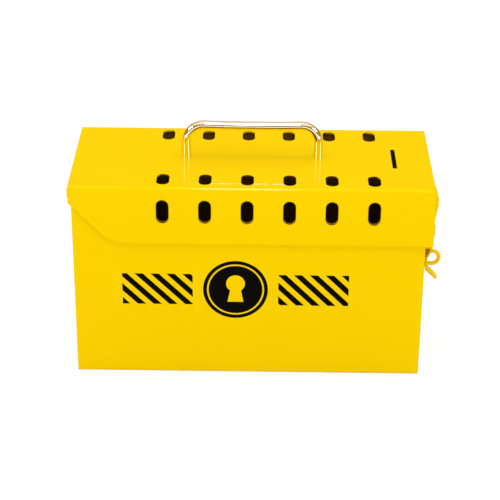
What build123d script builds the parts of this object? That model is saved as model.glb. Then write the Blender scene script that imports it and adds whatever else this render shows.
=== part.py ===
from build123d import *
import os

# Group lockout box: a folded sheet-metal box whose lid is hinged on its left end and held down by
# a slotted toggle latch on its right end. Millimetres, X along the length, Y towards the back,
# Z up, with the origin on the table under the middle of the closed lid.

# Sheet and folds
sheet = 1.2
bend_inner = 0.8

# Lid
lid_length = 260.0
lid_depth = 108.0
box_height = 152.0
flap_height = 44.2
hinge_wall_height = 8.5
flap_end_inset = 0.4
flap_end_height = 12.7
flap_cut_run = 29.8
flap_cut_radius = 20.0

# Body
wall_gap = 1.3
hinge_end_gap = 1.1
latch_end_gap = 4.1
body_top_gap = 0.5
end_flange = 12.0
corner_relief = 2.5

# Padlock holes: one row near each long edge of the lid, and one row through each long side
slot_count = 6
slot_pitch = 30.0
slot_first_x = -63.0
slot_width = 9.1
top_slot_length = 17.3
top_slot_from_edge = 14.6
side_slot_length = 18.1
side_slot_below_top = 18.6

# Key slot in the lid
key_slot_x = 103.0
key_slot_width = 3.2
key_slot_length = 33.0
key_slot_corner = 0.4

# Handle: a bent wire pull, screwed on from inside the lid
handle_spacing = 96.0
handle_wire = 6.0
handle_rise = 28.9
handle_bend = 13.0
handle_dip = 0.9
handle_dip_width = 40.0
handle_dip_bend = 150.0
screw_thread = 4.0
screw_length = 10.0
screw_play = 0.05
screw_hole_play = 0.15
screw_head = 7.6
screw_head_height = 2.6
screw_recess_length = 4.4
screw_recess_width = 1.0
screw_recess_depth = 1.5
washer_diameter = 9.0
washer_thickness = 0.8

# Butt hinge on the left end
hinge_length = 60.0
hinge_knuckles = 5
hinge_knuckle_gap = 0.3
hinge_turning_gap = 0.3
hinge_leaf = 0.8
hinge_pin_diameter = 2.4
hinge_play = 0.05
hinge_below_wall = 3.2
hinge_leaf_up = 9.2
hinge_leaf_down = 17.0
hinge_head = 3.8
hinge_head_height = 0.6

# Latch base: a plate with two ears, on the right end just below the lid's edge
base_thickness = 1.2
base_width = 20.8
base_length = 52.0
base_below_lid = 0.8
base_corner = 3.0
ear_gap = 0.3
ear_height = 11.0
ear_radius = 3.2

# Lever pin, where it stands and what it turns in
pivot_out = 7.6
pivot_below_base_top = 9.5
pivot_diameter = 3.0
pivot_play = 0.05
pivot_head = 4.4
pivot_head_height = 0.4

# Toggle lever: an outer face that steps in to a flat seat and kicks out to a tongue. "Out" is
# measured from the body's right end, and "rise" and "drop" from the lever pin.
lever_thickness = 1.2
lever_width = 21.2
lever_top_out = 11.0
lever_top_rise = 5.0
lever_knee_out = 9.4
lever_knee_drop = 15.5
lever_seat_out = 6.4
lever_seat_drop = 21.5
lever_seat_length = 11.6
lever_tongue_reach = 9.1
lever_knee_bend = 9.0
lever_seat_bend = 5.0
lever_tongue_bend = 6.0
lever_shoulder_drop = 28.5
lever_shoulder_slope = 5.4
lever_shoulder_bend = 2.6
tongue_width = 10.0
tongue_corner = 3.6
cheek_pivot_radius = 3.4
cheek_bail_radius = 2.6
cheek_rise = 3.3
cheek_drop = 13.5

# Slot in the lever, level with the staple
lever_slot_length = 16.7
lever_slot_play = 0.7

# Wire bail, hung in the lever's cheeks and leaning just outside the catch
bail_wire_diameter = 2.2
bail_play = 0.1
bail_pivot_out = 5.1
bail_pivot_drop = 10.5
bail_half_width = 14.0
bail_above_catch_foot = 2.0
bail_foot_bend = 2.0
bail_head_bend = 4.0
bail_end_inside = 0.4
bail_to_lip = 0.35

# Catch: a plate with an upturned hook, on the lid's right wall
catch_thickness = 1.0
catch_width = 18.0
catch_opening = 2.45
catch_below_top = 9.0
catch_height = 20.7
catch_lip_height = 7.5
catch_plate_corner = 4.0
catch_lip_corner = 3.0

# Padlock staple: a wire eye on the latch base
staple_wire = 3.0
staple_drop = 25.7
staple_bend = 5.25
staple_reach = 17.5

# Blind rivets
rivet_shank = 3.2
rivet_play = 0.05
rivet_head = 5.6
rivet_head_height = 1.0
rivet_tail = 4.6
rivet_tail_height = 1.0
catch_rivet_from_end = 5.5
catch_rivet_spacing = 10.0
base_rivet_from_end = 4.0
base_rivet_spacing = 12.0

# Places that follow from the sizes above
bend_outer = bend_inner + sheet
lid_left = -lid_length / 2
lid_right = lid_length / 2
lid_bottom = box_height - flap_height
lid_ceiling = box_height - sheet
hinge_wall_bottom = box_height - hinge_wall_height
body_left = lid_left + sheet + hinge_end_gap
body_right = lid_right - sheet - latch_end_gap
body_length = body_right - body_left
body_depth = lid_depth - 2 * (sheet + wall_gap)
body_top = lid_ceiling - body_top_gap
tray_depth = body_depth - 2 * sheet
slot_middle_x = slot_first_x + slot_pitch * (slot_count - 1) / 2
top_slot_row_gap = lid_depth - 2 * top_slot_from_edge
side_slot_height = box_height - side_slot_below_top
handle_top = box_height + handle_rise - handle_wire / 2
hinge_bore = hinge_pin_diameter / 2 + hinge_play
hinge_radius = hinge_bore + hinge_leaf
hinge_x = lid_left + sheet - hinge_bore
hinge_z = hinge_wall_bottom - hinge_below_wall
knuckle_pitch = hinge_length / hinge_knuckles
base_face = body_right + base_thickness
base_top = lid_bottom - base_below_lid
base_bottom = base_top - base_length
pivot_x = body_right + pivot_out
pivot_z = base_top - pivot_below_base_top
ear_inner = lever_width / 2 + ear_gap
ear_middle = ear_inner + base_thickness / 2
cheek_middle = lever_width / 2 - lever_thickness / 2
lever_top_z = pivot_z + lever_top_rise
lever_knee_z = pivot_z - lever_knee_drop
lever_seat_top_z = pivot_z - lever_seat_drop
lever_seat_foot_z = lever_seat_top_z - lever_seat_length
bail_pivot_x = body_right + bail_pivot_out
bail_pivot_z = pivot_z - bail_pivot_drop
staple_z = pivot_z - staple_drop
catch_top = box_height - catch_below_top
catch_foot = catch_top - catch_height
catch_lip_top = catch_foot + catch_lip_height
lip_face = lid_right + 2 * catch_thickness + catch_opening
bail_top_x = lip_face + bail_to_lip + bail_wire_diameter / 2
bail_top_z = catch_foot + bail_above_catch_foot
staple_bend_x = body_right + staple_reach - staple_bend - staple_wire / 2
catch_rivet_places = [
    (side * catch_rivet_spacing / 2, catch_top - catch_rivet_from_end)
    for side in (-1, 1)
]
base_rivet_places = [
    (side * base_rivet_spacing / 2, height)
    for height in (base_top - base_rivet_from_end, base_bottom + base_rivet_from_end)
    for side in (-1, 1)
]

os.makedirs("parts", exist_ok=True)


def write(piece, name):
    """Name a finished piece and write its file."""
    piece.part.label = name
    export_step(piece.part, f"parts/{name}.step")


def folded_section(points, radius, thickness):
    """The section of a folded strip, from its outside line: the sheet lies to the line's right."""
    with BuildLine() as strip:
        FilletPolyline(*points, radius=radius)
        offset(amount=thickness, side=Side.RIGHT)
    make_face(strip.edges())


def slot_row(height, length):
    """One row of upright padlock holes, drawn on the plane of a long side."""
    with Locations((slot_middle_x, height)):
        with GridLocations(slot_pitch, slot_pitch, slot_count, 1):
            SlotOverall(length, slot_width, rotation=90)


def rivet_holes(face_x, places):
    """Holes for rivets through the sheet whose outer face is at face_x."""
    with BuildSketch(Plane.YZ.offset(face_x)) as holes:
        with Locations(*places):
            Circle(rivet_shank / 2 + rivet_play)
    extrude(holes.sketch, amount=-sheet, mode=Mode.SUBTRACT)


def knuckle_places(first):
    """Middles, along Y, of every other hinge knuckle."""
    return [
        (index + 0.5) * knuckle_pitch - hinge_length / 2 for index in range(first, hinge_knuckles, 2)
    ]


# Lid shell: the crossing of two rounded sections, hollowed to a folded pan
with BuildPart() as lid_shell:
    with BuildSketch(Plane.XZ) as long_section:
        with Locations((0, lid_bottom)):
            Rectangle(lid_length, flap_height, align=(Align.CENTER, Align.MIN))
        fillet(long_section.vertices().group_by(Axis.Y)[-1], bend_outer)
    extrude(amount=lid_depth / 2, both=True)
    with BuildSketch(Plane.YZ) as cross_section:
        with Locations((0, lid_bottom)):
            Rectangle(lid_depth, flap_height, align=(Align.CENTER, Align.MIN))
        fillet(cross_section.vertices().group_by(Axis.Y)[-1], bend_outer)
    extrude(amount=lid_length / 2, both=True, mode=Mode.INTERSECT)
    offset(amount=-sheet, openings=lid_shell.faces().sort_by(Axis.Z)[0])
    # The left wall stops short above the hinge, and the flaps are cut back beside it
    with BuildSketch(Plane.XY.offset(lid_bottom)):
        with Locations((lid_left, 0)):
            Rectangle(2 * sheet, lid_depth - 2 * sheet)
            Rectangle(2 * flap_end_inset, lid_depth)
    extrude(amount=flap_height - hinge_wall_height, mode=Mode.SUBTRACT)
    # The flaps' lower left corners are cut off on a slant and rounded into the lower edge
    with BuildSketch(Plane.XZ) as corner_cut:
        flap_left = lid_left + flap_end_inset
        cut_foot = (flap_left + flap_cut_run, lid_bottom)
        Polygon(
            (lid_left - sheet, box_height - flap_end_height),
            (flap_left, box_height - flap_end_height),
            cut_foot,
            (cut_foot[0] + flap_cut_radius, lid_bottom),
            (cut_foot[0] + flap_cut_radius, lid_bottom - sheet),
            (lid_left - sheet, lid_bottom - sheet),
            align=None,
        )
        fillet(corner_cut.vertices().sort_by_distance(cut_foot)[0], flap_cut_radius)
    extrude(amount=lid_depth, both=True, mode=Mode.SUBTRACT)
    # Padlock holes in the top and in both flaps, the key slot and the handle's screw holes
    with BuildSketch(Plane.XY.offset(box_height)):
        with Locations((slot_middle_x, 0)):
            with GridLocations(slot_pitch, top_slot_row_gap, slot_count, 2):
                SlotOverall(top_slot_length, slot_width, rotation=90)
        with Locations((key_slot_x, 0)):
            RectangleRounded(key_slot_width, key_slot_length, key_slot_corner)
        with GridLocations(handle_spacing, handle_spacing, 2, 1):
            Circle(screw_thread / 2 + screw_hole_play)
    extrude(amount=-bend_outer, mode=Mode.SUBTRACT)
    with BuildSketch(Plane.XZ):
        slot_row(side_slot_height, side_slot_length)
    extrude(amount=lid_depth, both=True, mode=Mode.SUBTRACT)
    rivet_holes(lid_right, catch_rivet_places)
write(lid_shell, "lid_shell")

# Body wrap: front wall, floor and back wall from one sheet
with BuildPart() as body_wrap:
    with BuildSketch(Plane.YZ.offset(body_left)):
        folded_section(
            [
                (body_depth / 2, body_top),
                (body_depth / 2, 0),
                (-body_depth / 2, 0),
                (-body_depth / 2, body_top),
            ],
            bend_outer,
            sheet,
        )
    extrude(amount=body_length)
    with BuildSketch(Plane.XZ):
        slot_row(side_slot_height, side_slot_length)
    extrude(amount=lid_depth, both=True, mode=Mode.SUBTRACT)
write(body_wrap, "body_wrap")


def end_tray(face_x, inward, rivet_places):
    """An end wall with flanges folded inwards at the front, back and bottom."""
    tray_bottom = sheet
    notch_top = tray_bottom + corner_relief
    flange_x = face_x + inward * end_flange
    with BuildPart() as tray:
        with BuildSketch(Plane.XY.offset(notch_top)) as upright_section:
            folded_section(
                [
                    (flange_x, -inward * tray_depth / 2),
                    (face_x, -inward * tray_depth / 2),
                    (face_x, inward * tray_depth / 2),
                    (flange_x, inward * tray_depth / 2),
                ],
                bend_outer,
                sheet,
            )
        extrude(amount=body_top - notch_top)
        with BuildSketch(Plane.XZ) as bottom_section:
            bottom_fold = [
                (face_x, notch_top + bend_outer),
                (face_x, tray_bottom),
                (flange_x, tray_bottom),
            ]
            folded_section(bottom_fold[::int(-inward)], bend_outer, sheet)
        extrude(amount=tray_depth / 2 - corner_relief, both=True)
        if rivet_places:
            rivet_holes(face_x, rivet_places)
    return tray


body_left_end = end_tray(body_left, 1, [])
write(body_left_end, "body_left_end")

body_right_end = end_tray(body_right, -1, base_rivet_places)
write(body_right_end, "body_right_end")

# Handle: a wire bent to a shallow dip between two legs that stand on the lid
with BuildPart() as handle_bar:
    with BuildLine(Plane.XZ) as handle_line:
        FilletPolyline(
            (-handle_spacing / 2, box_height),
            (-handle_spacing / 2, handle_top),
            (-handle_dip_width / 2, handle_top - handle_dip),
            (handle_dip_width / 2, handle_top - handle_dip),
            (handle_spacing / 2, handle_top),
            (handle_spacing / 2, box_height),
            radius=[handle_bend, handle_dip_bend, handle_dip_bend, handle_bend],
        )
    with BuildSketch(Plane.XY.offset(box_height)):
        with Locations((-handle_spacing / 2, 0)):
            Circle(handle_wire / 2)
    sweep(path=handle_line.wires()[0])
    with BuildSketch(Plane.XY.offset(box_height)):
        with GridLocations(handle_spacing, handle_spacing, 2, 1):
            Circle(screw_thread / 2)
    extrude(amount=screw_length + screw_thread / 2, mode=Mode.SUBTRACT)
write(handle_bar, "handle_bar")


def handle_washer(x):
    """A washer under one screw head, against the lid's ceiling."""
    with BuildPart() as washer:
        with BuildSketch(Plane.XY.offset(lid_ceiling)):
            with Locations((x, 0)):
                Circle(washer_diameter / 2)
                Circle(screw_thread / 2 + screw_hole_play, mode=Mode.SUBTRACT)
        extrude(amount=-washer_thickness)
    return washer


def handle_screw(x):
    """A pan-head screw that comes up through the lid into one leg of the handle."""
    head_top = lid_ceiling - washer_thickness
    with BuildPart() as screw:
        with BuildSketch(Plane.XY.offset(head_top)):
            with Locations((x, 0)):
                Circle(screw_head / 2)
        extrude(amount=-screw_head_height)
        chamfer(screw.faces().sort_by(Axis.Z)[0].edges(), screw_head_height / 3)
        with BuildSketch(Plane.XY.offset(head_top - screw_head_height)):
            with Locations((x, 0)):
                Rectangle(screw_recess_length, screw_recess_width)
                Rectangle(screw_recess_width, screw_recess_length)
        extrude(amount=screw_recess_depth, mode=Mode.SUBTRACT)
        with BuildSketch(Plane.XY.offset(head_top)):
            with Locations((x, 0)):
                Circle(screw_thread / 2 - screw_play)
        extrude(amount=box_height + screw_length - head_top)
        chamfer(screw.faces().sort_by(Axis.Z)[-1].edges(), screw_thread / 8)
    return screw


for side, x in (("left", -handle_spacing / 2), ("right", handle_spacing / 2)):
    write(handle_washer(x), f"handle_washer_{side}")
    write(handle_screw(x), f"handle_screw_{side}")


def hinge_half(leaf_x, leaf_low, leaf_high, first, other_first):
    """A hinge leaf with its own knuckles, notched to clear the other leaf's knuckles."""
    knuckle_length = knuckle_pitch - hinge_knuckle_gap
    with BuildPart() as half:
        with BuildSketch(Plane.XZ):
            with Locations((leaf_x, leaf_low)):
                Rectangle(hinge_leaf, leaf_high - leaf_low, align=Align.MIN)
        extrude(amount=hinge_length / 2, both=True)
        for y in knuckle_places(other_first):
            with BuildSketch(Plane.XZ.offset(-y)):
                with Locations((hinge_x, hinge_z)):
                    Circle(hinge_radius + hinge_turning_gap)
            extrude(amount=(knuckle_pitch + hinge_knuckle_gap) / 2, both=True, mode=Mode.SUBTRACT)
        for y in knuckle_places(first):
            with BuildSketch(Plane.XZ.offset(-y)):
                with Locations((hinge_x, hinge_z)):
                    Circle(hinge_radius)
            extrude(amount=knuckle_length / 2, both=True)
        with BuildSketch(Plane.XZ):
            with Locations((hinge_x, hinge_z)):
                Circle(hinge_bore)
        extrude(amount=hinge_length, both=True, mode=Mode.SUBTRACT)
    return half


# Hinge: the body's leaf has the outer knuckles, the lid's leaf lies inside the short wall
hinge_leaf_body = hinge_half(body_left - hinge_leaf, hinge_z - hinge_leaf_down, hinge_z, 0, 1)
write(hinge_leaf_body, "hinge_leaf_body")

hinge_leaf_lid = hinge_half(lid_left + sheet, hinge_z, hinge_z + hinge_leaf_up, 1, 0)
write(hinge_leaf_lid, "hinge_leaf_lid")

with BuildPart() as hinge_pin:
    with BuildSketch(Plane.XZ):
        with Locations((hinge_x, hinge_z)):
            Circle(hinge_pin_diameter / 2)
    extrude(amount=hinge_length / 2, both=True)
    for side in (-1, 1):
        with BuildSketch(Plane.XZ.offset(side * (hinge_length + hinge_head_height) / 2)):
            with Locations((hinge_x, hinge_z)):
                Circle(hinge_head / 2)
        extrude(amount=hinge_head_height / 2, both=True)
    chamfer(
        hinge_pin.edges().filter_by(GeomType.CIRCLE).group_by(Axis.Y)[0]
        + hinge_pin.edges().filter_by(GeomType.CIRCLE).group_by(Axis.Y)[-1],
        hinge_head_height / 2,
    )
write(hinge_pin, "hinge_pin")


def rivet(face_x, place, tail_x):
    """A blind rivet along X, from its low head on face_x to its set tail behind tail_x."""
    with BuildPart() as piece:
        with BuildSketch(Plane.YZ.offset(face_x)):
            with Locations(place):
                Circle(rivet_head / 2)
        extrude(amount=rivet_head_height)
        chamfer(piece.faces().sort_by(Axis.X)[-1].edges(), rivet_head_height * 0.6)
        with BuildSketch(Plane.YZ.offset(face_x)):
            with Locations(place):
                Circle(rivet_shank / 2)
        extrude(amount=tail_x - face_x)
        with BuildSketch(Plane.YZ.offset(tail_x)):
            with Locations(place):
                Circle(rivet_tail / 2)
        extrude(amount=-rivet_tail_height)
        chamfer(piece.faces().sort_by(Axis.X)[0].edges(), rivet_tail_height * 0.4)
    return piece


# Catch: a plate on the lid's right wall that turns up at the bottom to a hook
with BuildPart() as catch_plate:
    hook_radius = catch_thickness + catch_opening / 2
    hook_height = catch_foot + hook_radius
    with BuildSketch(Plane.XZ):
        with BuildLine() as hook_line:
            plate_line = Line((lid_right, catch_top), (lid_right, hook_height))
            TangentArc(plate_line @ 1, (lip_face, hook_height), tangent=plate_line % 1)
            Line((lip_face, hook_height), (lip_face, catch_lip_top))
            offset(amount=catch_thickness, side=Side.LEFT)
        make_face()
    extrude(amount=catch_width / 2, both=True)
    fillet(catch_plate.edges().filter_by(Axis.X).group_by(Axis.Z)[-1], catch_plate_corner)
    lip_edges = catch_plate.edges().filter_by(Axis.X).filter_by_position(
        Axis.Z, catch_lip_top - catch_thickness, catch_lip_top + catch_thickness
    )
    fillet(lip_edges, catch_lip_corner)
    with BuildSketch(Plane.YZ.offset(lid_right)):
        with Locations(*catch_rivet_places):
            Circle(rivet_shank / 2 + rivet_play)
    extrude(amount=catch_thickness, mode=Mode.SUBTRACT)
write(catch_plate, "catch_plate")

for name, place in zip(("front", "back"), catch_rivet_places):
    write(rivet(lid_right + catch_thickness, place, lid_right - sheet), f"catch_rivet_{name}")

# Latch base: a riveted plate that widens to two ears folded forward
with BuildPart() as latch_base:
    ear_outer = ear_inner + base_thickness
    with BuildSketch(Plane.YZ.offset(body_right)) as base_outline:
        with Locations((0, base_bottom)):
            Rectangle(base_width, base_top - base_bottom, align=(Align.CENTER, Align.MIN))
        fillet(base_outline.vertices(), base_corner)
        with Locations((0, pivot_z)):
            Rectangle(2 * ear_outer, ear_height)
    extrude(amount=base_thickness)
    for side in (-1, 1):
        with BuildSketch(Plane.XZ.offset(side * ear_middle)) as ear_outline:
            with Locations((pivot_x, pivot_z)):
                Circle(ear_radius)
            with Locations((body_right, pivot_z)):
                Rectangle(base_thickness, ear_height, align=(Align.MIN, Align.CENTER))
            make_hull()
            with Locations((pivot_x, pivot_z)):
                Circle(pivot_diameter / 2 + pivot_play, mode=Mode.SUBTRACT)
        extrude(amount=base_thickness / 2, both=True)
    upright = latch_base.edges().filter_by(Axis.Z)
    outer_folds = [
        edge
        for edge in upright
        if abs(edge.center().X - body_right) < 0.01 and abs(abs(edge.center().Y) - ear_outer) < 0.01
    ]
    fillet(outer_folds, bend_outer)
    with BuildSketch(Plane.YZ.offset(body_right)):
        with Locations(*base_rivet_places):
            Circle(rivet_shank / 2 + rivet_play)
    extrude(amount=base_thickness, mode=Mode.SUBTRACT)
write(latch_base, "latch_base")

for number, place in enumerate(base_rivet_places, 1):
    write(rivet(base_face, place, body_right - sheet), f"latch_rivet_{number}")

# Padlock staple: a wire bent back on itself, with both ends on the latch base
with BuildPart() as padlock_staple:
    low = staple_z - staple_bend
    high = staple_z + staple_bend
    with BuildLine(Plane.XZ) as staple_line:
        lower_leg = Line((base_face, low), (staple_bend_x, low))
        TangentArc((staple_bend_x, low), (staple_bend_x, high), tangent=(1, 0))
        Line((staple_bend_x, high), (base_face, high))
    with BuildSketch(Plane.YZ.offset(base_face)):
        with Locations((0, low)):
            Circle(staple_wire / 2)
    sweep(path=staple_line.wires()[0])
write(padlock_staple, "padlock_staple")

# Lever pin, headed outside both ears
with BuildPart() as lever_pin:
    pin_end = ear_middle + base_thickness / 2
    with BuildSketch(Plane.XZ):
        with Locations((pivot_x, pivot_z)):
            Circle(pivot_diameter / 2)
    extrude(amount=pin_end, both=True)
    for side in (-1, 1):
        with BuildSketch(Plane.XZ.offset(side * (pin_end + pivot_head_height / 2))):
            with Locations((pivot_x, pivot_z)):
                Circle(pivot_head / 2)
        extrude(amount=pivot_head_height / 2, both=True)
    chamfer(
        lever_pin.edges().filter_by(GeomType.CIRCLE).group_by(Axis.Y)[0]
        + lever_pin.edges().filter_by(GeomType.CIRCLE).group_by(Axis.Y)[-1],
        pivot_head_height / 2,
    )
write(lever_pin, "lever_pin")

# Toggle lever: a bent strip cut to its outline, with two cheeks folded back for the pivots
with BuildPart() as latch_lever:
    with BuildSketch(Plane.XZ):
        folded_section(
            [
                (body_right + lever_top_out, lever_top_z),
                (body_right + lever_knee_out, lever_knee_z),
                (body_right + lever_seat_out, lever_seat_top_z),
                (body_right + lever_seat_out, lever_seat_foot_z),
                (
                    body_right + lever_seat_out + lever_tongue_reach,
                    lever_seat_foot_z - lever_tongue_reach,
                ),
            ],
            [lever_knee_bend, lever_seat_bend, lever_tongue_bend],
            lever_thickness,
        )
    extrude(amount=lever_width / 2, both=True)
    with BuildSketch(Plane.YZ.offset(body_right)) as lever_outline:
        outline_top = lever_top_z + lever_thickness
        shoulder_top = pivot_z - lever_shoulder_drop
        shoulder_foot = shoulder_top - lever_shoulder_slope
        tongue_low = lever_seat_foot_z - 2 * lever_tongue_reach
        Polygon(
            (-lever_width / 2, outline_top),
            (-lever_width / 2, shoulder_top),
            (-tongue_width / 2, shoulder_foot),
            (-tongue_width / 2, tongue_low),
            (tongue_width / 2, tongue_low),
            (tongue_width / 2, shoulder_foot),
            (lever_width / 2, shoulder_top),
            (lever_width / 2, outline_top),
            align=None,
        )
        shoulders = lever_outline.vertices().filter_by_position(
            Axis.Y, shoulder_foot, shoulder_top
        )
        fillet(shoulders, lever_shoulder_bend)
    extrude(amount=2 * lever_top_out, mode=Mode.INTERSECT)
    tongue_end = latch_lever.faces().sort_by(Axis.Z)[0]
    fillet(tongue_end.edges().filter_by(Axis.Y, reverse=True), tongue_corner)
    with BuildSketch(Plane.YZ.offset(body_right)):
        with Locations((0, staple_z)):
            SlotOverall(lever_slot_length, staple_wire + 2 * lever_slot_play, rotation=90)
    extrude(amount=2 * lever_top_out, mode=Mode.SUBTRACT)
    for side in (-1, 1):
        with BuildSketch(Plane.XZ.offset(side * cheek_middle)) as cheek:
            face_slope = (lever_top_out - lever_knee_out) / (lever_top_rise + lever_knee_drop)
            web_top_x = body_right + lever_top_out - face_slope * (lever_top_rise - cheek_rise)
            web_foot_x = body_right + lever_knee_out + face_slope * (lever_knee_drop - cheek_drop)
            with Locations((pivot_x, pivot_z)):
                Circle(cheek_pivot_radius)
            with Locations((bail_pivot_x, bail_pivot_z)):
                Circle(cheek_bail_radius)
            with BuildLine() as web:
                Line(
                    (web_top_x - lever_thickness / 2, pivot_z + cheek_rise),
                    (web_foot_x - lever_thickness / 2, pivot_z - cheek_drop),
                )
            make_hull()
            with Locations((pivot_x, pivot_z)):
                Circle(pivot_diameter / 2 + pivot_play, mode=Mode.SUBTRACT)
            with Locations((bail_pivot_x, bail_pivot_z)):
                Circle(bail_wire_diameter / 2 + bail_play, mode=Mode.SUBTRACT)
        extrude(amount=lever_thickness / 2, both=True)
write(latch_lever, "latch_lever")

# Bail: a wire loop in the plane of its own legs, with its ends turned into the lever's cheeks
with BuildPart() as bail_wire:
    leg = Vector(bail_top_x - bail_pivot_x, 0, bail_top_z - bail_pivot_z)
    bail_end = lever_width / 2 - lever_thickness - bail_end_inside
    bail_plane = Plane(
        origin=(bail_pivot_x, 0, bail_pivot_z),
        x_dir=(0, 1, 0),
        z_dir=(leg.Z, 0, -leg.X),
    )
    with BuildLine(bail_plane) as bail_line:
        FilletPolyline(
            (-bail_end, 0),
            (-bail_half_width, 0),
            (-bail_half_width, leg.length),
            (bail_half_width, leg.length),
            (bail_half_width, 0),
            (bail_end, 0),
            radius=[bail_foot_bend, bail_head_bend, bail_head_bend, bail_foot_bend],
        )
    with BuildSketch(Plane.XZ.offset(bail_end)):
        with Locations((bail_pivot_x, bail_pivot_z)):
            Circle(bail_wire_diameter / 2)
    sweep(path=bail_line.wires()[0])
write(bail_wire, "bail_wire")
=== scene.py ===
# %% [markdown]
# A lockout box in yellow sheet steel. The steel parts come from the CAD frame at their real size.
# Here they get their finish: glossy powder coat, chrome, bright zinc and a plain black print.
# Then come a white table, soft light and a camera that stands where the photographer stood.

# %% Load the frame and note its size
import math

import bpy
from mathutils import Matrix, Vector


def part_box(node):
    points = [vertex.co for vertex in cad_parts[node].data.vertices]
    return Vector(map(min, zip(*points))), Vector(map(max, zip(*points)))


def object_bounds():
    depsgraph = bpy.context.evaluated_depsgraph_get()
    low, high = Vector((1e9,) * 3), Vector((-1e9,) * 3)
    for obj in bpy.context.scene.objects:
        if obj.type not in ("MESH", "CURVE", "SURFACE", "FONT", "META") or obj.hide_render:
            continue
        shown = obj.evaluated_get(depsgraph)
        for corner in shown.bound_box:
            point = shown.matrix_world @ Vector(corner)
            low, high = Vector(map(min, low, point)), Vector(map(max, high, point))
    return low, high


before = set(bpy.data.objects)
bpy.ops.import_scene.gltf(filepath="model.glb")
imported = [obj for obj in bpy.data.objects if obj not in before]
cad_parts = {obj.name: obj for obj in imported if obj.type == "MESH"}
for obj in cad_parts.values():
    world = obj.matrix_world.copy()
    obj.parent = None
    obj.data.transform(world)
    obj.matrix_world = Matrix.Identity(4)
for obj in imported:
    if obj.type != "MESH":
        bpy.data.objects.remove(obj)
cad_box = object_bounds()
box_low, box_high = cad_box
print("CAD box", cad_box)

# %% [markdown]
# The camera is found from the picture itself. The edges of the lid and the body fix the
# direction, the distance and the focal length, and a tiny roll says that the camera wasn't quite
# level. The three axes of the view are worked out from those angles, so the numbers keep a plain
# meaning.

# %% Camera
view_azimuth = math.radians(0.45)
view_elevation = math.radians(27.42)
view_roll = math.radians(0.48)
view_distance = 1.2436
view_target = Vector((-0.00113, 0, 0.07584))
focal_pixels = 1656.5
picture_pixels = 500
sensor_width = 36

backward = Vector((
    math.sin(view_azimuth) * math.cos(view_elevation),
    -math.cos(view_azimuth) * math.cos(view_elevation),
    math.sin(view_elevation),
))
level_right = Vector((math.cos(view_azimuth), math.sin(view_azimuth), 0))
level_up = backward.cross(level_right)
view_right = level_right * math.cos(view_roll) + level_up * math.sin(view_roll)
view_up = level_up * math.cos(view_roll) - level_right * math.sin(view_roll)

camera_data = bpy.data.cameras.new("photo_camera")
camera_data.sensor_width = sensor_width
camera_data.lens = focal_pixels / picture_pixels * sensor_width
camera = bpy.data.objects.new("photo_camera", camera_data)
view_turn = Matrix((view_right, view_up, backward)).transposed().to_4x4()
camera.matrix_world = Matrix.Translation(view_target + backward * view_distance) @ view_turn
bpy.context.scene.collection.objects.link(camera)
bpy.context.scene.camera = camera
print("lens", round(camera_data.lens, 2), "mm, camera at", camera.matrix_world.translation)

# %% [markdown]
# Node trees could be wired by hand in the editor, but a list of nodes with one line each is easier
# to read and to change. These short helpers add a node, fill its sockets and do sums.

# %% Helpers for nodes and sums
def fill(tree, sockets, values):
    """Link the values that are sockets, and set the ones that are numbers or colours."""
    for name, value in values.items():
        if isinstance(value, bpy.types.NodeSocket):
            tree.links.new(value, sockets[name])
        else:
            sockets[name].default_value = value


def add_node(tree, kind, values=None, **options):
    """Add a node, set its options and fill its sockets."""
    node = tree.nodes.new(kind)
    for name, option in options.items():
        setattr(node, name, option)
    fill(tree, node.inputs, values or {})
    return node


def calc(tree, operation, *values):
    """One Math node, given sockets or plain numbers."""
    node = add_node(tree, "ShaderNodeMath", operation=operation)
    fill(tree, node.inputs, dict(enumerate(values)))
    return node.outputs[0]


def product(tree, first, *others):
    """Several values multiplied one after the other."""
    for other in others:
        first = calc(tree, "MULTIPLY", first, other)
    return first


print("helpers for nodes and sums ready")

# %% [markdown]
# Almost every effect on this box depends on where a point lies and which way the surface faces
# there. The next helpers measure that. They turn what they measured into a mask from 0 to 1, and
# mix colours or raise a relief with it.

# %% Helpers for places and masks
def within(tree, value, middle, limit):
    """1 where a value is no further than the limit from the middle."""
    return calc(tree, "COMPARE", value, middle, limit)


def dot(tree, first, second):
    """The dot product of two vectors, which grows as they point the same way."""
    node = add_node(tree, "ShaderNodeVectorMath", operation="DOT_PRODUCT")
    fill(tree, node.inputs, {0: first, 1: second})
    return node.outputs["Value"]


def axes_of(tree, vector):
    """The X, Y and Z of a vector."""
    return add_node(tree, "ShaderNodeSeparateXYZ", {"Vector": vector}).outputs


def own_space(tree):
    """Where a point lies in its piece, as Object, and which way it faces there, as Normal."""
    return add_node(tree, "ShaderNodeTexCoord").outputs


def ramp(tree, value, start, end, top=1.0, soft=False):
    """Go from 0 at the start value to the top at the end value, evenly or softly."""
    limits = {"Value": value, "From Min": start, "From Max": end, "To Max": top}
    shape = "SMOOTHSTEP" if soft else "LINEAR"
    return add_node(tree, "ShaderNodeMapRange", limits, interpolation_type=shape).outputs[0]


def noise(tree, place, scale, detail=2.0):
    """Soft noise about 0.5, whose features get smaller as the scale goes up."""
    values = {"Vector": place, "Scale": scale, "Detail": detail}
    return add_node(tree, "ShaderNodeTexNoise", values).outputs[0]


def mix_colours(tree, mask, first, second):
    """Go from the first colour to the second as the mask goes from 0 to 1."""
    node = add_node(tree, "ShaderNodeMix", data_type="RGBA")
    fill(tree, node.inputs, {0: mask, 6: first, 7: second})
    return node.outputs[2]


def relief(tree, height, depth):
    """A bump node: a height of 1 stands the depth, in metres, above a height of 0."""
    return add_node(tree, "ShaderNodeBump", {"Height": height, "Distance": depth})


print("helpers for places and masks ready")

# %% [markdown]
# Several finishes share an effect, such as worn edges. Each could hold its own copy of the nodes,
# but a node group is made once, has named sockets, and is placed wherever it is wanted.

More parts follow.
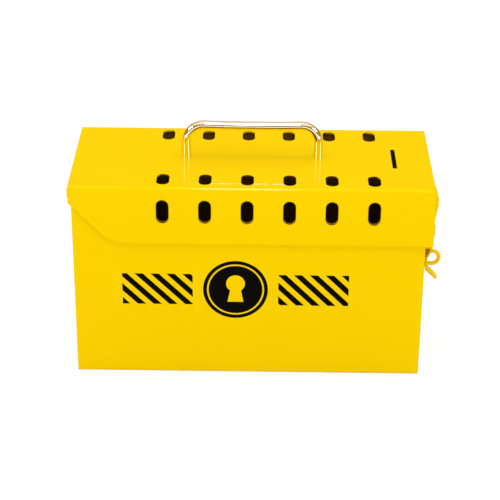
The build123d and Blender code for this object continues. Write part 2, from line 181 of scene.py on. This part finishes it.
# %% Helpers for node groups
def start_group(name, inputs, outputs):
    """A new node group of plain numbers: its inputs with their first values, and its outputs."""
    group = bpy.data.node_groups.new(name, "ShaderNodeTree")
    for label, value in inputs.items():
        socket = group.interface.new_socket(label, in_out="INPUT", socket_type="NodeSocketFloat")
        socket.default_value = value
    for label in outputs:
        group.interface.new_socket(label, in_out="OUTPUT", socket_type="NodeSocketFloat")
    entry = group.nodes.new("NodeGroupInput").outputs
    way_out = group.nodes.new("NodeGroupOutput").inputs
    return group, entry, way_out


def place_group(tree, group, **values):
    """Place a group in a tree, fill its inputs and return its outputs."""
    node = add_node(tree, "ShaderNodeGroup", node_tree=group)
    fill(tree, node.inputs, {name.replace("_", " "): value for name, value in values.items()})
    return node.outputs


print("helpers for node groups ready")

# %% [markdown]
# Powder coat melts into a glossy skin that is never quite flat. Seen close, it has soft swellings
# a couple of millimetres wide, called orange peel, and longer, lower waves from the sheet below.
# Two noises in real units make that height. It could be a displaced mesh, but the relief is only
# a few hundredths of a millimetre, so a bump is enough and costs nothing.

# %% Group: the skin of the powder coat
coat_skin, entry, way_out = start_group(
    "coat_skin",
    {"peel width mm": 2.2, "wave width mm": 38, "wave share": 0.8},
    ("height", "shade"),
)
mm_per_metre = 1000
peel_detail = 1.5
wave_detail = 0.5
wave_height_in_peels = 12

place = own_space(coat_skin)["Object"]
peel_scale = calc(coat_skin, "DIVIDE", mm_per_metre, entry["peel width mm"])
wave_scale = calc(coat_skin, "DIVIDE", mm_per_metre, entry["wave width mm"])
peel = noise(coat_skin, place, peel_scale, peel_detail)
wave = noise(coat_skin, place, wave_scale, wave_detail)
wave_height = product(coat_skin, wave, entry["wave share"], wave_height_in_peels)
fill(coat_skin, way_out, {"height": calc(coat_skin, "ADD", peel, wave_height), "shade": wave})
print("group", coat_skin.name)

# %% [markdown]
# A cut edge of sheet steel takes less powder than the flat, and it is the first place that a hand
# or a padlock rubs. The Bevel node gives the normal that a rounded edge would have. Where it
# differs from the true normal there is an edge, and a noise breaks the line up so that it isn't
# even.

# %% Group: worn and thinly coated edges
rubbed_edge, entry, way_out = start_group(
    "rubbed_edge",
    {"width mm": 0.5, "gain": 3.0, "patch width mm": 6.0},
    ("mask",),
)
bevel_samples = 6
patch_detail = 4

place = own_space(rubbed_edge)["Object"]
true_normal = add_node(rubbed_edge, "ShaderNodeNewGeometry").outputs["Normal"]
reach = calc(rubbed_edge, "DIVIDE", entry["width mm"], mm_per_metre)
bevel = add_node(rubbed_edge, "ShaderNodeBevel", {"Radius": reach}, samples=bevel_samples)
turn = calc(rubbed_edge, "SUBTRACT", 1, dot(rubbed_edge, true_normal, bevel.outputs[0]))
patch_scale = calc(rubbed_edge, "DIVIDE", mm_per_metre, entry["patch width mm"])
patch = noise(rubbed_edge, place, patch_scale, patch_detail)
strong = product(rubbed_edge, turn, patch, entry["gain"])
fill(rubbed_edge, way_out, {"mask": calc(rubbed_edge, "MINIMUM", strong, 1)})
print("group", rubbed_edge.name)

# %% [markdown]
# Hands, cloths and padlocks leave a finish a little less even than it came out of the oven. A
# stretched noise makes faint wipe marks, and a second one makes small dull spots. The group gives
# a number to add to the roughness, and each finish says how much of it there is.

# %% Group: marks from handling
handling, entry, way_out = start_group(
    "handling",
    {"amount": 0.05, "wipe width mm": 9.0},
    ("roughness", "smear"),
)
wipe_stretch = (0.25, 1, 1)
spot_scale = 900
spot_detail = 3
spot_start, spot_full = 0.62, 0.72

place = own_space(handling)["Object"]
wipe_scale = calc(handling, "DIVIDE", mm_per_metre, entry["wipe width mm"])
stretch = add_node(handling, "ShaderNodeMapping", {"Vector": place, "Scale": wipe_stretch})
wipes = noise(handling, stretch.outputs[0], wipe_scale)
spots = ramp(handling, noise(handling, place, spot_scale, spot_detail), spot_start, spot_full)
wiped = calc(handling, "MULTIPLY", wipes, entry["amount"])
spotted = calc(handling, "MULTIPLY", spots, entry["amount"])
fill(handling, way_out, {"roughness": calc(handling, "ADD", wiped, spotted), "smear": wipes})
print("group", handling.name)

# %% [markdown]
# Faces inside the box are coloured a darker brown as painted shade, and soft light finds them
# almost black. A face looks inwards when its normal points back at the middle of the box. That
# test is simple, and it holds for every sheet of a convex box.

# %% Group: faces that look into the box
box_inside, entry, way_out = start_group("box_inside", {}, ("mask",))
inward_limit = -0.02
box_centre = (Vector(box_low) + Vector(box_high)) / 2

own = own_space(box_inside)
from_centre = add_node(box_inside, "ShaderNodeVectorMath", operation="SUBTRACT")
fill(box_inside, from_centre.inputs, {0: own["Object"], 1: box_centre})
facing_out = dot(box_inside, own["Normal"], from_centre.outputs[0])
fill(box_inside, way_out, {"mask": calc(box_inside, "LESS_THAN", facing_out, inward_limit)})
print("group", box_inside.name)

# %% [markdown]
# The holes are cut while the sheet is still flat. Their walls are painted a dark brown as shade,
# so from outside they are the dark rims of the holes. A wall of a hole is known by its place in
# the sheet and by a normal that lies in the sheet.

# %% Group: the cut walls of the holes
hole_wall, entry, way_out = start_group("hole_wall", {}, ("mask",))
flat_limit = 0.5
hole_rows_reach = 0.112
side_hole_middle, side_hole_reach = 0.1334, 0.0100
top_sheet_low, top_hole_reach = 0.1500, 0.0495

own = own_space(hole_wall)
place = axes_of(hole_wall, own["Object"])
faces = axes_of(hole_wall, own["Normal"])
side_wall = product(
    hole_wall,
    within(hole_wall, place["Z"], side_hole_middle, side_hole_reach),
    within(hole_wall, faces["Y"], 0, flat_limit),
)
top_wall = product(
    hole_wall,
    calc(hole_wall, "GREATER_THAN", place["Z"], top_sheet_low),
    within(hole_wall, place["Y"], 0, top_hole_reach),
    within(hole_wall, faces["Z"], 0, flat_limit),
)
any_wall = calc(hole_wall, "MAXIMUM", side_wall, top_wall)
in_rows = within(hole_wall, place["X"], 0, hole_rows_reach)
fill(hole_wall, way_out, {"mask": calc(hole_wall, "MULTIPLY", any_wall, in_rows)})
print("group", hole_wall.name)

# %% [markdown]
# The yellow is one colour everywhere, but it goes a touch deeper where the coat is thin, on
# edges, and it is very slightly uneven over a whole sheet. The gloss comes from a smooth surface.
# Its reflections are tinted towards yellow, because on the real box they look warm and not milky.

# %% Colours and gloss of the powder coat
coat_yellow = (0.86, 0.576, 0.0005, 1)
coat_deep = (0.79, 0.499, 0.0005, 1)
coat_worn = (0.62, 0.31, 0.002, 1)
# Inside faces get a darker colour as painted shade; the lid's inside is only a little darker.
box_inside_painted_shade = (0.42, 0.19, 0.0010, 1)
lid_inside_painted_shade = (0.80, 0.49, 0.0005, 1)
# Painted shade on the cut walls of the holes.
hole_wall_painted_shade = (0.20, 0.06, 0.0030, 1)
# Soft light finds inside faces almost black: painted shade that stops bounced light.
inside_bounce_painted_shade = (0.04, 0.012, 0.0005, 1)
coat_gloss_tint = (1.0, 0.80, 0.05, 1)
coat_roughness = 0.12
coat_ior = 1.32
coat_marks = 0.03
coat_edge_width_mm = 0.6
coat_edge_gain = 2.2
peel_depth = 0.000010
uneven_start, uneven_full = 0.3, 0.8
uneven_share = 0.12
print("powder coat", coat_yellow[:3], "and where thin", coat_worn[:3])

# %% [markdown]
# The layers of the coat go on in one order: the even colour, thin edges, the painted shade on the
# cut walls of the holes, the painted shade inside, and last a print or the swelling and painted
# highlight of a fold. Inside faces pass on hardly any of the light that reaches them. So the
# padlock holes look almost black from outside, as in the picture, while an open box is still
# yellow inside.

# %% Yellow powder coat
def start_material(name):
    """A new material, its node tree and the inputs of its shader."""
    material = bpy.data.materials.new(name)
    material.use_nodes = True
    tree = material.node_tree
    return material, tree, tree.nodes["Principled BSDF"].inputs


def powder_coat(name, inner_painted_shade=None, print_mask=None, fold_swell_and_highlight=None):
    """Powder coat, with an inner colour of painted shade, a black print or the swelling and
    painted highlight of a fold if asked.
    """
    material, tree, shader = start_material(name)
    skin = place_group(tree, coat_skin)
    edge = place_group(tree, rubbed_edge, width_mm=coat_edge_width_mm, gain=coat_edge_gain)
    marks = place_group(tree, handling, amount=coat_marks)
    uneven = ramp(tree, skin["shade"], uneven_start, uneven_full, uneven_share)
    colour = mix_colours(tree, uneven, coat_yellow, coat_deep)
    colour = mix_colours(tree, edge["mask"], colour, coat_worn)
    if inner_painted_shade:
        # Painted shade on the cut walls of the holes.
        colour = mix_colours(tree, place_group(tree, hole_wall)["mask"], colour, hole_wall_painted_shade)
        # Painted shade inside: dark brown to the camera, almost black to soft light.
        bounced = add_node(tree, "ShaderNodeLightPath").outputs["Is Diffuse Ray"]
        inside_painted_shade = mix_colours(tree, bounced, inner_painted_shade, inside_bounce_painted_shade)
        colour = mix_colours(tree, place_group(tree, box_inside)["mask"], colour, inside_painted_shade)
    roughness = calc(tree, "ADD", marks["roughness"], coat_roughness)
    height = skin["height"]
    if print_mask:
        mask = print_mask(tree)
        colour = mix_colours(tree, mask, colour, ink_black)
        roughness = calc(tree, "MULTIPLY_ADD", mask, ink_extra_roughness, roughness)
        height = calc(tree, "MULTIPLY_ADD", mask, ink_height_in_peels, height)
    bump = relief(tree, height, peel_depth)
    if fold_swell_and_highlight:
        swelling, painted_highlight = fold_swell_and_highlight(tree)
        fill(tree, bump.inputs, {"Normal": relief(tree, swelling, fold_swell).outputs[0]})
        # Painted highlight along the crest and the bend of the fold.
        colour = mix_colours(tree, painted_highlight, colour, fold_painted_highlight)
    fill(tree, shader, {
        "Base Color": colour,
        "Roughness": roughness,
        "Normal": bump.outputs[0],
        "IOR": coat_ior,
        "Specular Tint": coat_gloss_tint,
    })
    return material


yellow_coat = powder_coat("yellow_coat")
yellow_coat_sheet = powder_coat("yellow_coat_sheet", inner_painted_shade=box_inside_painted_shade)
print("materials", yellow_coat.name, yellow_coat_sheet.name)

# %% [markdown]
# A press brake stretches the sheet beside a fold and leaves a low swelling there, a few
# It is hardly a tenth of a millimetre high, but it stands proud of the flat. A pale, crinkled
# painted highlight runs along its crest, and another along the bend in front of it. The swelling
# and both highlight lines are plain in the middle of the lid, between the legs of the pull, and
# fade towards its ends.

# %% Yellow powder coat on the folded lid
# The pale colour of the fold lines is a painted highlight.
fold_painted_highlight = (1.0, 0.90, 0.42, 1)
fold_swell = 0.00012
swell_from_edge = 0.0085
swell_half_width = 0.0022
crinkle_scale = 220
crinkle_depth = 0.0014
crest_highlight_half_width = 0.0010
crest_highlight_start, crest_highlight_full = 0.36, 0.56
bend_highlight_from_edge = 0.0006
bend_highlight_half_width = 0.0004
bend_highlight_share = 0.5
highlight_middle_x = -0.006
highlight_full_reach = 0.022
highlight_end_reach = 0.042


def ridge(tree, distance, half_width):
    """1 where a distance is zero, falling softly to 0 at the half width."""
    return ramp(tree, calc(tree, "ABSOLUTE", distance), half_width, 0.0, soft=True)


def lid_fold(tree):
    """The swelling's height from 0 to 1, and the mask of the two painted highlight lines."""
    place = own_space(tree)["Object"]
    crinkle = noise(tree, place, crinkle_scale)
    axes = axes_of(tree, place)
    from_edge = calc(tree, "SUBTRACT", axes["Y"], box_low[1])
    crest_place = calc(
        tree, "MULTIPLY_ADD", crinkle, -crinkle_depth, swell_from_edge + crinkle_depth / 2,
    )
    off_crest = calc(tree, "SUBTRACT", from_edge, crest_place)
    off_middle = calc(tree, "ABSOLUTE", calc(tree, "SUBTRACT", axes["X"], highlight_middle_x))
    middle_share = ramp(tree, off_middle, highlight_end_reach, highlight_full_reach, soft=True)
    patches = ramp(tree, crinkle, crest_highlight_start, crest_highlight_full)
    crest_highlight = product(tree, ridge(tree, off_crest, crest_highlight_half_width), patches)
    off_bend = calc(tree, "SUBTRACT", from_edge, bend_highlight_from_edge)
    bend_highlight = product(tree, ridge(tree, off_bend, bend_highlight_half_width), bend_highlight_share)
    # The two lines of painted highlight, strongest in the middle of the lid.
    painted_highlight = product(tree, calc(tree, "MAXIMUM", crest_highlight, bend_highlight), middle_share)
    height = product(tree, ridge(tree, off_crest, swell_half_width), middle_share)
    return height, painted_highlight


yellow_coat_lid = powder_coat("yellow_coat_lid", inner_painted_shade=lid_inside_painted_shade, fold_swell_and_highlight=lid_fold)
print("material", yellow_coat_lid.name)

# %% [markdown]
# The front of the body carries a screen print in black ink. This one is plain, and its middle is a
# round lock plate with a keyhole. It could be a picture laid on the sheet, but shapes worked out
# from distances in metres stay sharp at any size.

# %% The round plate of the print
ink_blur = 0.00012
plate_radius = 0.0235
plate_ring = 0.0018
plate_ring_gap = 0.0016
plate_ring_half_line = plate_ring / 3
keyhole_radius = 0.0068
keyhole_rise = 0.0050
keyhole_foot = 0.0150
keyhole_waist = 0.0028
keyhole_flare = 0.0058


def inside(tree, distance):
    """1 where a signed distance is below zero, with an edge one blur wide."""
    return ramp(tree, distance, ink_blur, -ink_blur)


def straight_distance(tree, across, upward):
    """The length of a line that goes so far across and so far up."""
    squares = calc(tree, "ADD", calc(tree, "POWER", across, 2), calc(tree, "POWER", upward, 2))
    return calc(tree, "SQRT", squares)


def lock_plate(tree, across, upward):
    """The round plate, less a thin ring near its rim and the keyhole."""
    from_middle = straight_distance(tree, across, upward)
    plate = inside(tree, calc(tree, "SUBTRACT", from_middle, plate_radius))
    ring_middle = plate_radius - plate_ring_gap - plate_ring
    off_ring = calc(tree, "ABSOLUTE", calc(tree, "SUBTRACT", from_middle, ring_middle))
    ring = inside(tree, calc(tree, "SUBTRACT", off_ring, plate_ring_half_line))

    from_eye = straight_distance(tree, across, calc(tree, "SUBTRACT", upward, keyhole_rise))
    eye = inside(tree, calc(tree, "SUBTRACT", from_eye, keyhole_radius))
    down_share = calc(tree, "DIVIDE", calc(tree, "SUBTRACT", keyhole_rise, upward), keyhole_foot)
    half_width = calc(
        tree, "MULTIPLY_ADD", down_share, keyhole_flare - keyhole_waist, keyhole_waist,
    )
    off_side = calc(tree, "SUBTRACT", calc(tree, "ABSOLUTE", across), half_width)
    below_foot = calc(tree, "SUBTRACT", keyhole_rise - keyhole_foot, upward)
    above_eye = calc(tree, "SUBTRACT", upward, keyhole_rise)
    throat = product(
        tree, inside(tree, off_side), inside(tree, below_foot), inside(tree, above_eye),
    )
    keyhole = calc(tree, "MAXIMUM", eye, throat)
    bare = calc(tree, "MAXIMUM", keyhole, ring)
    return calc(tree, "MAXIMUM", calc(tree, "SUBTRACT", plate, bare), 0)


print("plate", 2 * plate_radius, "m across")

# %% [markdown]
# On each side of the plate stands a bar of slanted safety stripes. The distance to the side counts
# without its sign, so one bar is drawn on both sides. A zigzag of the slanted distance, cut at a
# level, gives stripes of one width.

# %% The striped bars of the print
bar_start = 0.031
bar_end = 0.082
bar_half_height = 0.0125
stripe_pitch = 0.0115
stripe_share = 0.52


def stripe_bars(tree, across, upward):
    """Two bars of slanted stripes, one on each side of the plate."""
    sideways = calc(tree, "ABSOLUTE", across)
    off_bar = calc(tree, "ABSOLUTE", calc(tree, "SUBTRACT", sideways, (bar_start + bar_end) / 2))
    past_end = calc(tree, "SUBTRACT", off_bar, (bar_end - bar_start) / 2)
    past_top = calc(tree, "SUBTRACT", calc(tree, "ABSOLUTE", upward), bar_half_height)
    bar = inside(tree, calc(tree, "MAXIMUM", past_end, past_top))
    off_stripe = calc(tree, "PINGPONG", calc(tree, "ADD", across, upward), stripe_pitch / 2)
    stripe = inside(tree, calc(tree, "SUBTRACT", off_stripe, stripe_pitch / 2 * stripe_share))
    return product(tree, bar, stripe)


print("bars", bar_end - bar_start, "m long")

# %% [markdown]
# The wall is one bent sheet with the floor and the back, so the print is held to the outer face
# of its front by place and by normal. Ink is a thin layer of its own: it stands a little above the
# coat and is slightly less smooth.

# %% Black print on the front
ink_black = (0.002, 0.002, 0.003, 1)
ink_extra_roughness = 0.02
ink_height_in_peels = 0.6
print_middle_x, print_middle_z = -0.011, 0.070
front_normal_limit = -0.9
front_sheet_depth = 0.0004


def lock_print(tree):
    """The mask of the whole print, from the place on the front wall in metres."""
    own = own_space(tree)
    place = axes_of(tree, own["Object"])
    across = calc(tree, "SUBTRACT", place["X"], print_middle_x)
    upward = calc(tree, "SUBTRACT", place["Z"], print_middle_z)
    plate = lock_plate(tree, across, upward)
    shapes = calc(tree, "MAXIMUM", plate, stripe_bars(tree, across, upward))
    faces_front = calc(tree, "LESS_THAN", axes_of(tree, own["Normal"])["Y"], front_normal_limit)
    front_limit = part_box("body_wrap")[0].y + front_sheet_depth
    on_front = calc(tree, "LESS_THAN", place["Y"], front_limit)
    return product(tree, shapes, faces_front, on_front)


yellow_coat_printed = powder_coat(
    "yellow_coat_printed", inner_painted_shade=box_inside_painted_shade, print_mask=lock_print,
)
print("material", yellow_coat_printed.name)

# %% [markdown]
# The handle is bent from steel wire, polished and chrome plated, so it is almost a mirror. What
# makes it look real is the room round it: white above, yellow below and a dark line between. The
# plate needs a faint haze from fingers and a very fine waviness from the bending. A dark brown
# line on the side that looks slightly down, along the bar and into the right bend, is a painted
# reflection of the shaded lid under the bar. The upright legs get a warmer colour as a painted
# reflection of the yellow lid, and an orange edge tint is a painted reflection of yellow at
# grazing angles. In reflections the pull is painted dark, so the lid's coat mirrors it only
# faintly.

# %% Chrome plate
chrome_colour = (0.92, 0.88, 0.85, 1)
# Orange edge tint: a painted reflection of yellow at grazing angles.
chrome_edge_painted_reflection = (1.0, 0.45, 0.08, 1)
# Warmer legs: a painted reflection of the yellow lid.
leg_painted_reflection = (0.95, 0.77, 0.42, 1)
# Dark brown under the bar: a painted reflection of the shaded lid below.
underside_painted_reflection = (0.12, 0.07, 0.02, 1)
# The pull as seen in reflections, painted dark so that the lid mirrors it faintly.
chrome_painted_dim_in_reflections = (0.17, 0.14, 0.09, 1)
chrome_roughness = 0.02
chrome_haze = 0.05
chrome_wave_depth = 0.00002
leg_limit = 0.06
underside_line_from, underside_line_full = -0.04, -0.09
underside_line_to, underside_line_still_full = -0.42, -0.28
left_bend_end, left_bend_start = 0.35, 0.15
right_leg_end, right_leg_start = -0.80, -0.55

chrome, tree, shader = start_material("chrome")
marks = place_group(tree, handling, amount=chrome_haze, wipe_width_mm=3.0)
skin = place_group(tree, coat_skin, peel_width_mm=5.0, wave_share=0.0)
faces = axes_of(tree, own_space(tree)["Normal"])
# Painted reflection of shade along the underside of the bar and into the right bend.
underside_reflection_line = product(
    tree,
    ramp(tree, faces["Z"], underside_line_from, underside_line_full),
    ramp(tree, faces["Z"], underside_line_to, underside_line_still_full),
    ramp(tree, faces["X"], left_bend_end, left_bend_start),
    ramp(tree, faces["X"], right_leg_end, right_leg_start),
)
colour = mix_colours(tree, within(tree, faces["Z"], 0, leg_limit), chrome_colour, leg_painted_reflection)
colour = mix_colours(tree, underside_reflection_line, colour, underside_painted_reflection)
# Reflections of the pull are painted dark.
in_reflection = add_node(tree, "ShaderNodeLightPath").outputs["Is Glossy Ray"]
fill(tree, shader, {
    "Base Color": mix_colours(tree, in_reflection, colour, chrome_painted_dim_in_reflections),
    "Metallic": 1,
    "Specular Tint": chrome_edge_painted_reflection,
    "Roughness": calc(tree, "ADD", marks["roughness"], chrome_roughness),
    "Normal": relief(tree, skin["height"], chrome_wave_depth).outputs[0],
})
print("material", chrome.name)

# %% [markdown]
# The screws and washers that hold the pull sit out of sight inside the lid. They are zinc plated.
# Zinc is a paler, duller metal than chrome, with fine turning marks and a trace of blue and straw
# colour from its last dip.

# %% Bright zinc plate
zinc_cool = (0.56, 0.59, 0.64, 1)
zinc_warm = (0.66, 0.62, 0.52, 1)
zinc_rubbed = (0.78, 0.78, 0.78, 1)
zinc_roughness = 0.22
zinc_haze = 0.16
zinc_mark_depth = 0.00001

zinc, tree, shader = start_material("zinc")
marks = place_group(tree, handling, amount=zinc_haze, wipe_width_mm=1.2)
skin = place_group(tree, coat_skin, peel_width_mm=0.35, wave_share=0.0)
edge = place_group(tree, rubbed_edge, width_mm=0.25, gain=3.0)
colour = mix_colours(tree, marks["smear"], zinc_cool, zinc_warm)
fill(tree, shader, {
    "Base Color": mix_colours(tree, edge["mask"], colour, zinc_rubbed),
    "Metallic": 1,
    "Roughness": calc(tree, "ADD", marks["roughness"], zinc_roughness),
    "Normal": relief(tree, skin["height"], zinc_mark_depth).outputs[0],
})
print("material", zinc.name)

# %% [markdown]
# Each steel part now takes its finish. The pull is chrome, what holds it is zinc, and everything
# else is powder coated. The lid and the printed sheet each have a coat of their own, the other
# sheets inside the box share one, and the small hardware has the plain coat.

# %% Give each part its finish
plain_finish = yellow_coat
finishes = {
    "lid_shell": yellow_coat_lid,
    "body_wrap": yellow_coat_printed,
    "body_left_end": yellow_coat_sheet,
    "body_right_end": yellow_coat_sheet,
    "hinge_leaf_body": yellow_coat_sheet,
    "hinge_leaf_lid": yellow_coat_sheet,
    "handle_bar": chrome,
    "handle_screw_left": zinc,
    "handle_screw_right": zinc,
    "handle_washer_left": zinc,
    "handle_washer_right": zinc,
}
for name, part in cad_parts.items():
    part.data.materials.clear()
    part.data.materials.append(finishes.get(name, plain_finish))
print(len(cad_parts), "parts finished")

# %% [markdown]
# The box stands on a white table that runs far past the picture, a hair below its foot. One square
# face is enough for it.

# %% White table
table_half = 4
table_drop = 0.0003
corners = ((-1, -1), (1, -1), (1, 1), (-1, 1))

table_mesh = bpy.data.meshes.new("table")
table_mesh.from_pydata(
    [(x * table_half, y * table_half, -table_drop) for x, y in corners], [], [(0, 1, 2, 3)],
)
table = bpy.data.objects.new("table", table_mesh)
bpy.context.scene.collection.objects.link(table)
print("table", 2 * table_half, "m wide")

# %% [markdown]
# The camera sees the table white, and soft light finds it a pale grey, so that a trace of shadow
# stays under the box. Shiny parts see three zones of it. Close in front it is dark, which keeps
# the black print black. Further out it is white, which draws the pale line in the pull. Behind
# the box it is warm, so that faces seen at a slant stay yellow.

# %% What the table shows
table_seen = (0.24, 0.24, 0.24, 1)
table_glow = 0.80
table_glow_colour = (1, 1, 1, 1)
table_soft = (0.84, 0.84, 0.84, 1)
table_roughness = 0.9
mirrored_close = (0.08, 0.08, 0.08, 1)
mirrored_behind = (0.66, 0.44, 0.10, 1)
mirrored_far = (0.95, 0.95, 0.95, 1)
behind_start, behind_full = -0.04, 0.02
far_start, far_full = -0.30, -0.45

table_white, tree, shader = start_material("table_white")
rays = add_node(tree, "ShaderNodeLightPath").outputs
towards_back = axes_of(tree, own_space(tree)["Object"])["Y"]
behind = ramp(tree, towards_back, behind_start, behind_full)
far_out = ramp(tree, towards_back, far_start, far_full)
mirrored = mix_colours(tree, behind, mirrored_close, mirrored_behind)
mirrored = mix_colours(tree, far_out, mirrored, mirrored_far)
lit = mix_colours(tree, rays["Is Glossy Ray"], table_soft, mirrored)
fill(tree, shader, {
    "Base Color": mix_colours(tree, rays["Is Camera Ray"], lit, table_seen),
    "Roughness": table_roughness,
    "Specular IOR Level": 0.0,
    "Emission Color": table_glow_colour,
    "Emission Strength": calc(tree, "MULTIPLY", rays["Is Camera Ray"], table_glow),
})
table_mesh.materials.append(table_white)
print("material", table_white.name)

# %% [markdown]
# Soft light reaches the box from a white room: most of it from a bright band at eye height all
# round and from the ceiling. Light that comes in level leaves hardly a shadow under the flaps, as
# in the picture. Shiny parts see the same room with more contrast: a large white area in front
# and above, a pale warm ceiling, and warm, dim walls, which draw the dark lines in the chrome.

# %% Room light
room_level = 0.40
band_level = 2.2
band_top = 0.26
ceiling_level = 1.25
ceiling_start, ceiling_full = 0.45, 0.85
room_white = (1, 1, 1, 1)
room_wall = (0.38, 0.235, 0.025, 1)
room_ceiling = (1.0, 0.82, 0.45, 1)
wall_top, ceiling_edge = 0.55, 0.68
white_middle = math.radians(63)
white_inner = math.radians(24)
white_outer = math.radians(35)
white_direction = (0, -math.cos(white_middle), math.sin(white_middle))

world = bpy.data.worlds.new("white_room")
bpy.context.scene.world = world
world.use_nodes = True
tree = world.node_tree
rays = add_node(tree, "ShaderNodeLightPath").outputs
direction = add_node(tree, "ShaderNodeTexCoord").outputs["Generated"]
upward = axes_of(tree, direction)["Z"]
towards_white = dot(tree, direction, white_direction)
white_share = ramp(
    tree, towards_white, math.cos(white_outer), math.cos(white_inner), soft=True,
)
overhead = ramp(tree, upward, wall_top, ceiling_edge)
mirrored = mix_colours(tree, overhead, room_wall, room_ceiling)
mirrored = mix_colours(tree, white_share, mirrored, room_white)
band = ramp(tree, upward, band_top, 0.0, band_level, soft=True)
ceiling = ramp(tree, upward, ceiling_start, ceiling_full, ceiling_level, soft=True)
soft_level = calc(tree, "ADD", calc(tree, "ADD", band, ceiling), room_level)
seen = calc(tree, "MAXIMUM", rays["Is Camera Ray"], rays["Is Glossy Ray"])
level = calc(tree, "MULTIPLY_ADD", seen, calc(tree, "SUBTRACT", 1, soft_level), soft_level)
fill(tree, tree.nodes["Background"].inputs, {
    "Color": mix_colours(tree, rays["Is Glossy Ray"], room_white, mirrored),
    "Strength": level,
})
print("world", world.name)

# %% [markdown]
# Lamps add what the room can't give. A long lamp overhead casts the thin shadow of the pull
# across the lid, and a broad, weak one low in front fills the front wall. Neither shows in the
# gloss. Three bright strips work the other way: only shiny parts see them, and they draw the
# white glints in the bends of the pull and the white lines in its legs.

# %% Lamps
box_middle = (0, 0, 0.08)
strip_size = (0.25, 0.5)
strip_out, strip_y, strip_height = 1.36, -0.63, 0.92


def area_lamp(name, place, size, brightness, in_gloss, look_at=box_middle):
    """A rectangular lamp whose face has the given brightness, for shiny parts or soft light."""
    data = bpy.data.lights.new(name, "AREA")
    data.shape = "RECTANGLE"
    data.size, data.size_y = size
    data.energy = brightness * math.pi * size[0] * size[1]
    lamp = bpy.data.objects.new(name, data)
    lamp.location = place
    lamp.rotation_euler = (Vector(look_at) - Vector(place)).to_track_quat("-Z", "Y").to_euler()
    lamp.visible_glossy = in_gloss
    lamp.visible_diffuse = not in_gloss
    bpy.context.scene.collection.objects.link(lamp)
    return lamp


lamps = [
    area_lamp(
        "overhead_box", place=(0, -0.04, 1.5), look_at=(0, -0.04, 0), size=(1.0, 0.14),
        brightness=4, in_gloss=False,
    ),
    area_lamp(
        "glint_strip", place=(-0.02, -0.60, 1.2), size=(0.14, 0.6), brightness=10, in_gloss=True,
    ),
    area_lamp(
        "left_strip", place=(-strip_out, strip_y, strip_height), size=strip_size,
        brightness=54, in_gloss=True,
    ),
    area_lamp(
        "right_strip", place=(strip_out, strip_y, strip_height), size=strip_size,
        brightness=38, in_gloss=True,
    ),
    area_lamp(
        "front_fill", place=(0, -2.0, 0.4), size=(2.4, 0.6), brightness=0.9, in_gloss=False,
    ),
]
print("lamps", [lamp.name for lamp in lamps])

# %% [markdown]
# The view shows the colours as they are written, with no film look on top. Nothing here may stand
# proud of the steel, so the two are the same.

# %% The view transform
bpy.context.scene.view_settings.view_transform = "Standard"
